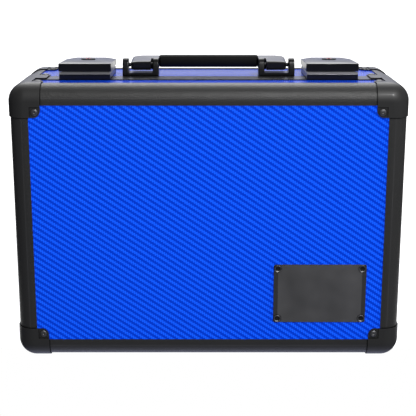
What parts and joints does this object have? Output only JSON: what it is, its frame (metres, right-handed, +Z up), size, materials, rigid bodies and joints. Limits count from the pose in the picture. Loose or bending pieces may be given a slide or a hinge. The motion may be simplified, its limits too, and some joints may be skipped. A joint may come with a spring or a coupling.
{
  "type": "graded card case",
  "caption": "Upright hard case for graded cards: a laminated box in metal edging with steel corners, a hinged lid, two keyed lever latches, a folding handle and foam rows inside.",
  "frame": {"origin": "on the floor under the middle of the case, which stands on its feet", "axes": "+X across the case, +Y from the lid at the front to the back, +Z up to the handle"},
  "size_m": [0.4036, 0.1636, 0.3147],
  "materials": {
    "blue_laminate": "satin laminate with a printed twill weave",
    "black_extrusion": "black anodised, satin",
    "black_steel": "black powder coat",
    "black_rivet": "black, semi-gloss",
    "latch_black": "black paint on a die casting",
    "lock_brass": "red enamelled face",
    "bright_steel": "bright pin",
    "nameplate": "satin black, blank",
    "handle_plastic": "moulded, satin",
    "black_rubber": "matt rubber",
    "black_foam": "closed-cell foam"
  },
  "bodies": {
    "base": {"base_back_panel": "blue_laminate", "base_top_panel": "blue_laminate", "base_bottom_panel": "blue_laminate", "base_left_panel": "blue_laminate", "base_right_panel": "blue_laminate", "base_top_edge": "black_extrusion", "base_bottom_edge": "black_extrusion", "base_left_edge": "black_extrusion", "base_right_edge": "black_extrusion", "base_top_left_post": "black_extrusion", "base_top_right_post": "black_extrusion", "base_bottom_left_post": "black_extrusion", "base_bottom_right_post": "black_extrusion", "base_top_left_corner": "black_steel", "base_top_right_corner": "black_steel", "base_bottom_left_corner": "black_steel", "base_bottom_right_corner": "black_steel", "base_rim_corners": "black_steel", "base_closing_frame": "black_extrusion", "base_rivets": "black_rivet", "foam_insert": "black_foam", "base_feet": "black_rubber", "hinge_base_leaves": "black_steel", "hinge_pins": "bright_steel", "latch_pins": "bright_steel", "latch_plate_left": "latch_black", "latch_plate_right": "latch_black", "handle_bracket_left": "black_steel", "handle_bracket_right": "black_steel", "handle_pins": "bright_steel"},
    "lid": {"lid_front_panel": "blue_laminate", "lid_top_panel": "blue_laminate", "lid_bottom_panel": "blue_laminate", "lid_left_panel": "blue_laminate", "lid_right_panel": "blue_laminate", "lid_top_edge": "black_extrusion", "lid_bottom_edge": "black_extrusion", "lid_left_edge": "black_extrusion", "lid_right_edge": "black_extrusion", "lid_top_left_corner": "black_steel", "lid_top_right_corner": "black_steel", "lid_bottom_left_corner": "black_steel", "lid_bottom_right_corner": "black_steel", "lid_closing_frame": "black_extrusion", "nameplate": "nameplate", "nameplate_rivets": "black_rivet", "lid_rivets": "black_rivet", "lid_foam_pad": "black_foam", "latch_keepers": "latch_black", "hinge_lid_leaves": "black_steel"},
    "handle": {"handle_arm_left": "handle_plastic", "handle_arm_right": "handle_plastic", "handle_grip": "black_rubber"},
    "left_latch": {"latch_lever_left": "latch_black", "lock_bezel_left": "latch_black"},
    "left_lock": {"lock_cylinder_left": "lock_brass"},
    "right_latch": {"latch_lever_right": "latch_black", "lock_bezel_right": "latch_black"},
    "right_lock": {"lock_cylinder_right": "lock_brass"}
  },
  "joints": [
    {"name": "lid_hinge", "type": "hinge", "parent": "base", "child": "lid", "pos_m": [0, -0.032, 0.0045], "axis": [1, 0, 0], "range_deg": [0, 100]},
    {"name": "handle_fold", "type": "hinge", "parent": "base", "child": "handle", "pos_m": [0, 0.00175, 0.307], "axis": [1, 0, 0], "range_deg": [0, 90]},
    {"name": "left_latch_lift", "type": "hinge", "parent": "base", "child": "left_latch", "pos_m": [-0.1275, 0.0295, 0.307], "axis": [-1, 0, 0], "range_deg": [0, 80]},
    {"name": "left_lock_turn", "type": "hinge", "parent": "left_latch", "child": "left_lock", "pos_m": [-0.1275, 0.002, 0.31], "axis": [0, 0, 1], "range_deg": [0, 90]},
    {"name": "right_latch_lift", "type": "hinge", "parent": "base", "child": "right_latch", "pos_m": [0.1275, 0.0295, 0.307], "axis": [-1, 0, 0], "range_deg": [0, 80]},
    {"name": "right_lock_turn", "type": "hinge", "parent": "right_latch", "child": "right_lock", "pos_m": [0.1275, 0.002, 0.31], "axis": [0, 0, -1], "range_deg": [0, 90]}
  ]
}
